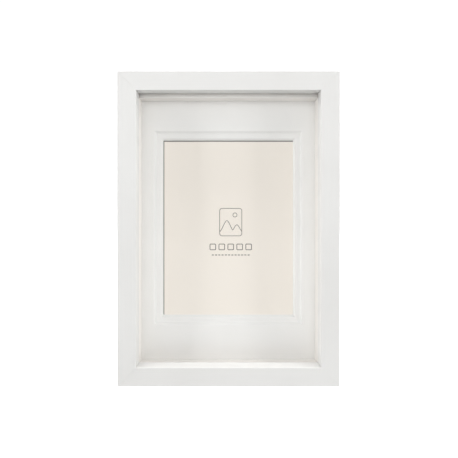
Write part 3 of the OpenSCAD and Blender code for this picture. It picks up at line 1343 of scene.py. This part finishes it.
@dataclass
class PanScrews:
    """Pan-head screws with a cross recess."""

    plate: Plate
    radius: float = 2.9 * MM
    height: float = 1.5 * MM
    wing_half: float = 0.36 * MM
    wing_reach: float = 1.75 * MM
    recess: float = 1.05 * MM
    recess_rise: float = 0.55
    soft: float = 0.07 * MM
    dome_powers: tuple[float, float] = (3.2, 0.42)
    even_rings: tuple[float, int] = (0.82, 34)
    rim_rings: tuple[float, int] = (0.966, 14)
    sectors: int = 96
    shank: tuple[float, float] = (1.25 * MM, 3 * MM)
    turn_step: float = 2.4

    def head(self, centre: np.ndarray) -> Patch:
        """One head: a polar grid whose height is a flattened dome less a cross-shaped recess.

        The dome is height (1 - (r / R)^p)^q, with p and q the dome's powers. A wing is a product of
        two soft steps, one across it and one along it, and the recess runs deeper towards the
        middle. The rings are even up to a share of R and then close up as R sin(angle).

        Args:
            centre: Point on the axis at the underside of the head.

        Returns:
            The head and a short shank.
        """
        angle = np.linspace(self.rim_rings[0], math.pi / 2, self.rim_rings[1])[1:]
        rings = np.concatenate([np.linspace(0, *self.even_rings), np.sin(angle)])
        r = rings[:, None] * self.radius
        t = np.linspace(0, 2 * math.pi, self.sectors + 1)
        x, z = r * np.cos(t), r * np.sin(t)
        power, root = self.dome_powers
        dome = self.height * np.maximum(1 - (r / self.radius) ** power, 0) ** root + 0 * t
        wing = np.maximum(self._wing(x, z), self._wing(z, x))
        deep = self.recess * (1 - self.recess_rise * r / self.wing_reach)
        y = dome - wing * np.maximum(deep, 0)
        top = np.stack([centre[0] + x, centre[1] + y, centre[2] + z], -1)
        thin, long = self.shank
        profile = np.array([(self.radius, 0), (thin, 0), (thin, -long), (0, -long)])
        return Patch(np.concatenate([top, turned(profile, centre, self.sectors).points], 0))

    def _wing(self, across: np.ndarray, along: np.ndarray) -> np.ndarray:
        """1 inside one slot of the cross and 0 outside it, with soft sides.

        Args:
            across: Distances across the slot.
            along: Distances along it.

        Returns:
            The values.
        """
        narrow = np.clip((self.wing_half + self.soft - np.abs(across)) / (2 * self.soft), 0, 1)
        short = np.clip((self.wing_reach - np.abs(along)) / (3 * self.soft), 0, 1)
        return narrow * short

    def build(self) -> bpy.types.Object:
        """Make all the screws in one piece, each turned to its own angle.

        Returns:
            The piece.
        """
        _, high = corner_points("turn_button_screws")
        piece = Piece("turn_button_pan_screws", [self.plate.material()])
        for number, joint in enumerate(hinges()):
            centre = np.array([joint["pos_m"][0], high[1] - self.height, joint["pos_m"][2]])
            patch = self.head(centre)
            turn = self.turn_step * number
            spin = np.array([[math.cos(turn), math.sin(turn)], [-math.sin(turn), math.cos(turn)]])
            flat = (patch.points[..., [0, 2]] - centre[[0, 2]]) @ spin + centre[[0, 2]]
            patch.points[..., 0], patch.points[..., 2] = flat[..., 0], flat[..., 1]
            piece.add(patch)
        return place(piece.make(crease=40), "frame", "zinc_plate", "turn_button_screws")


@dataclass
class Hanger:
    """A sawtooth hanger: a strip with flat ends, a raised middle and teeth on its lower edge."""

    label: str
    plate: Plate
    steel: float = 0.8 * MM
    ease: float = 0.12 * MM
    end: float = 7.2 * MM
    pitch: float = 2.6 * MM
    tooth: float = 1.5 * MM
    teeth: int = 9
    saw_gain: float = 1.25
    saw_start: float = 0.12
    nail_head: float = 1.7 * MM
    nail_height: float = 0.6 * MM
    nail_rim: float = 0.25
    nail_rings: int = 8
    nail_sectors: int = 32
    stations: int = 60

    def strip(self) -> Patch:
        """Carry the strip's cross-section along it, with s the distance from the strip's middle.

        The mid surface rises by a soft step 3 x^2 - 2 x^3 at each ramp. The toothed edge lies at
        tooth (gain (1 - saw(s)) - start), held between 0 and tooth, where the saw has the teeth's
        pitch, and at 0 past the teeth.

        Returns:
            The closed strip.
        """
        low, high = corner_points(f"hanger_{self.label}")
        size = high - low
        upright = size[2] > size[0]
        length, width, rise = max(size[0], size[2]), min(size[0], size[2]), size[1] - self.steel
        half = length / 2
        even = np.linspace(-half, half, self.stations + 1)
        s = np.unique(np.concatenate([even, self._tooth_stations()]))
        foot, top = half - self.end, half - self.end - size[1]
        ramp = np.clip((foot - np.abs(s)) / (foot - top), 0, 1)
        lift = rise * (ramp * ramp * (3 - 2 * ramp))
        slope = np.gradient(lift, s)
        normal = np.stack([-slope, np.ones_like(slope)], -1) / np.sqrt(1 + slope**2)[:, None]
        saw = np.abs(((s / self.pitch + 0.5) % 1) - 0.5) * 2
        inside = np.abs(s) < self.teeth * self.pitch / 2
        cut = np.clip(self.saw_gain * (1 - saw) - self.saw_start, 0, 1)
        notch, plain = np.where(inside, self.tooth * cut, 0), 0 * s + width
        e, steel = self.ease, self.steel
        toothed_edge, plain_edge = [notch + e, notch, notch, notch + e], [plain - e, plain, plain, plain - e]
        across = np.stack([*toothed_edge, *plain_edge, notch + e], 1)
        through = np.array([0, e, steel - e, steel, steel, steel - e, e, 0, 0]) - steel / 2
        along = np.clip(s[:, None] + normal[:, :1] * through, -half, half)
        out = lift[:, None] + steel / 2 + normal[:, 1:] * through
        middle = (low + high) / 2
        points = np.empty((*along.shape, 3))
        points[..., 1] = low[1] + np.clip(out, 0, size[1])
        if upright:
            points[..., 2] = middle[2] + along
            points[..., 0] = high[0] - across
        else:
            points[..., 0] = middle[0] + along
            points[..., 2] = low[2] + across
        return Patch(points, cap=True)

    def _tooth_stations(self) -> np.ndarray:
        """Places along the strip where the saw's line bends."""
        marks = np.arange(-self.teeth / 2, self.teeth / 2 + 0.25, 0.25) * self.pitch
        return np.concatenate([marks, marks + 0.01 * self.pitch])

    def nails(self) -> list[Patch]:
        """Two domed nail heads, one on each flat end: a circle's height (1 - (r / R)^2)^0.5 over a rim.

        Returns:
            The heads.
        """
        low, high = corner_points(f"hanger_{self.label}")
        size, middle = high - low, (low + high) / 2
        offset = (max(size[0], size[2]) - self.end) / 2
        axis = np.array([0, 0, 1.0]) if size[2] > size[0] else np.array([1.0, 0, 0])
        r = np.linspace(0, 1, self.nail_rings + 1)
        dome = self.nail_height * (self.nail_rim + (1 - self.nail_rim) * np.sqrt(1 - r**2))
        profile = np.vstack([np.stack([self.nail_head * r, dome], -1), [(self.nail_head, 0), (0, 0)]])
        patches = []
        for sign in (-1, 1):
            centre = middle + axis * sign * offset
            centre[1] = low[1] + self.steel
            patches.append(turned(profile, centre, self.nail_sectors))
        return patches

    def build(self) -> bpy.types.Object:
        """Make the strip."""
        piece = Piece(f"hanger_{self.label}_strip", [self.plate.material()]).add(self.strip())
        return place(piece.make(crease=25), "frame", "zinc_plate", f"hanger_{self.label}")


# ---------------------------------------------------------------- studio


@dataclass(frozen=True)
class Softbox:
    """A rectangular lamp: its place, its size, its power in watts, and whether reflections show it."""

    name: str
    place: tuple[float, float, float]
    size: tuple[float, float]
    power: float
    mirrored: bool = True

    def build(self, aim: Vector) -> None:
        """Make the lamp.

        Args:
            aim: The point that it faces.
        """
        light = bpy.data.lights.new(self.name, "AREA")
        light.shape = "RECTANGLE"
        light.size, light.size_y = self.size
        light.energy = self.power
        made = bpy.data.objects.new(self.name, light)
        made.location = self.place
        made.visible_glossy = self.mirrored
        made.rotation_euler = (aim - Vector(self.place)).to_track_quat("-Z", "Y").to_euler()
        bpy.context.scene.collection.objects.link(made)


SOFTBOXES = (
    Softbox("key", (-0.05, -1.20, 0.47), (0.9, 0.5), 3.7, mirrored=False),
    Softbox("left", (-1.25, -0.46, 0.47), (0.5, 0.9), 10.2),
    Softbox("right", (1.25, -0.46, 0.47), (0.5, 0.9), 10.3),
    Softbox("overhead", (0.0, -0.22, 1.30), (1.2, 0.35), 8.7),
    Softbox("behind", (0.45, 1.50, 0.75), (1.4, 1.0), 9.0),
)


@dataclass
class Studio:
    """Pale floor, even white surroundings, the soft lamps and the camera."""

    surround: float = 0.35
    seen_white: float = 1.05
    floor_half: float = 6.0
    floor_colour: Colour = (0.56, 0.56, 0.56)
    floor_shade: Colour = (0.54, 0.54, 0.54)
    floor_marks: float = 30
    floor_glow: float = 0.9
    camera_distance: float = 420 * MM
    camera_left: float = 3.7 * MM
    camera_rise: float = 36 * MM
    lens: float = 31.93
    sensor: float = 36.0
    shift: tuple[float, float] = (0.0088, -0.0760)
    near: float = 10 * MM

    def floor(self) -> None:
        """A wide floor at the frame's foot. The camera sees it glow, so that it reads as white."""
        corners = ((-1, -1), (1, -1), (1, 1), (-1, 1))
        points = [(x * self.floor_half, y * self.floor_half, CAD_BOX[0].z) for x, y in corners]
        mesh = bpy.data.meshes.new("studio_floor")
        mesh.from_pydata(points, [], [(0, 1, 2, 3)])
        g = Graph("studio_floor")
        grain = g.noise(g.coordinates(), self.floor_marks)
        seen = g.node("ShaderNodeLightPath", output="Is Camera Ray")
        mesh.materials.append(
            g.principled(
                Base_Color=g.blend(self.floor_shade, self.floor_colour, grain),
                Roughness=0.9,
                Specular_IOR_Level=0.1,
                Emission_Color=g.blend((0.0, 0.0, 0.0), (1.0, 1.0, 1.0), seen),
                Emission_Strength=self.floor_glow,
            )
        )
        made = bpy.data.objects.new("studio_floor", mesh)
        bpy.context.scene.collection.objects.link(made)

    def world(self) -> None:
        """White to the camera, and about a third as strong as a light."""
        world = bpy.data.worlds.new("studio")
        bpy.context.scene.world = world
        world.use_nodes = True
        tree = world.node_tree
        tree.nodes.clear()
        path = tree.nodes.new("ShaderNodeLightPath")
        light, seen = tree.nodes.new("ShaderNodeBackground"), tree.nodes.new("ShaderNodeBackground")
        light.inputs["Strength"].default_value = self.surround
        seen.inputs["Strength"].default_value = self.seen_white
        for background in (light, seen):
            background.inputs["Color"].default_value = (1, 1, 1, 1)
        mix, end = tree.nodes.new("ShaderNodeMixShader"), tree.nodes.new("ShaderNodeOutputWorld")
        tree.links.new(path.outputs["Is Camera Ray"], mix.inputs[0])
        tree.links.new(light.outputs[0], mix.inputs[1])
        tree.links.new(seen.outputs[0], mix.inputs[2])
        tree.links.new(mix.outputs[0], end.inputs["Surface"])

    def camera(self) -> None:
        """A level camera square to the glass, a little left of the middle and above it."""
        data = bpy.data.cameras.new("camera")
        data.lens, data.sensor_width = self.lens, self.sensor
        data.shift_x, data.shift_y = self.shift
        data.clip_start = self.near
        made = bpy.data.objects.new("camera", data)
        low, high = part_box("rail_left")
        middle = (low.z + high.z) / 2
        made.location = (-self.camera_left, low.y - self.camera_distance, middle + self.camera_rise)
        made.rotation_euler = (math.pi / 2, 0, 0)
        bpy.context.scene.collection.objects.link(made)
        bpy.context.scene.camera = made

    def build(self) -> None:
        """Set the camera, the world, the lamps, the floor and the plain colour view up."""
        self.camera()
        self.world()
        for box in SOFTBOXES:
            box.build((CAD_BOX[0] + CAD_BOX[1]) / 2)
        self.floor()
        settings = bpy.context.scene.view_settings
        settings.view_transform, settings.look = "Standard", "None"


def main() -> None:
    """Build the rails, what they hold from front to back, the hardware, then the studio."""
    logging.basicConfig(level=logging.INFO, format="%(name)s: %(message)s", stream=sys.stdout)
    fibre = RawFibre()
    zinc = Plate("zinc_plate", (0.74, 0.75, 0.77), (0.60, 0.61, 0.60))
    steel = Plate("bright_steel", (0.60, 0.60, 0.61), (0.42, 0.41, 0.40), polished=0.24)
    # The spacer paper's warm tint is painted warm bounce light, laid over the paper's own colour.
    paper = Board("spacer_paper", (0.862, 0.842, 0.816), (0.832, 0.81, 0.782), tooth_size=0.6 * MM)
    mat_face = Board("mat_face", (0.931, 0.928, 0.912), (0.907, 0.902, 0.886))
    mat_core = Board("mat_core", (0.858, 0.858, 0.843), (0.832, 0.83, 0.812), 0.25 * MM, 0.03 * MM)
    card = Board("cream_card", (0.966, 0.911, 0.836), (0.955, 0.898, 0.822), 0.3 * MM, 0.012 * MM)
    # Near-black face of the backing: painted shade, seen only as the dark line in the gap beside the card.
    shade_lining = Board("black_lining", (0.055, 0.055, 0.055), (0.035, 0.035, 0.035), tooth_size=0.5 * MM)
    Moulding(SatinPaint(), fibre).build()
    MitreNails(steel).build()
    Pane(ClearGlass(), GlassEdge()).build()
    Spacer(paper).build()
    Mat("upper_mat", window=(165 * MM, 216 * MM), face=mat_face, core=mat_core).build()
    Mat("lower_mat", window=(150.4 * MM, 200.4 * MM), face=mat_face, core=mat_core).build()
    PictureCard(card, Ink()).build()
    Backing(shade_lining, fibre, RawFibre("screened_fibre", screen_pitch=1.3 * MM)).build()
    TurnButtons(zinc).build()
    PanScrews(zinc).build()
    nails = Piece("hanger_nail_heads", [steel.material()])
    for hanger in (Hanger("top", zinc), Hanger("side", zinc)):
        hanger.build()
        nails.add(hanger.nails())
    place(nails.make(crease=40), "frame", "steel", "hanger_nails")
    Studio().build()


if __name__ == "__main__":
    main()
